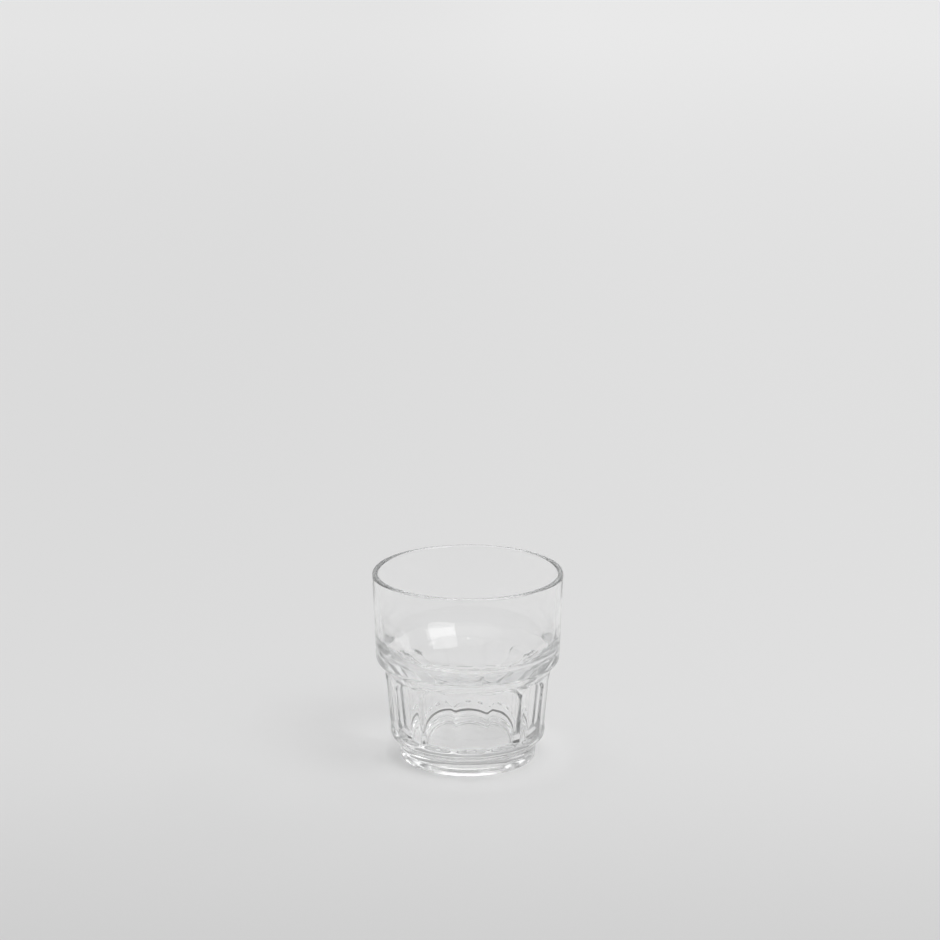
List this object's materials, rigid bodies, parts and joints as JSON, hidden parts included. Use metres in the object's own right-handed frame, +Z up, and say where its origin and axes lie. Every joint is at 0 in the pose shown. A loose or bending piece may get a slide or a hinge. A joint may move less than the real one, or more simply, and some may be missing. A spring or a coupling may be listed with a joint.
{
  "type": "cortado glass",
  "caption": "Small stacking tumbler of clear pressed glass: plain upper band, stepped shoulder, panelled lower body with arched panel tops and a narrower thick foot.",
  "frame": {"origin": "centre of the face that the glass rests on", "axes": "+Z up along the axis of the glass, -Y towards the viewer of the picture, +X to the viewer's right"},
  "size_m": [0.075, 0.075, 0.0755],
  "materials": {
    "clear_glass": "fire-polished, clear and glossy"
  },
  "bodies": {
    "root": {"tumbler": "clear_glass"}
  },
  "joints": []
}
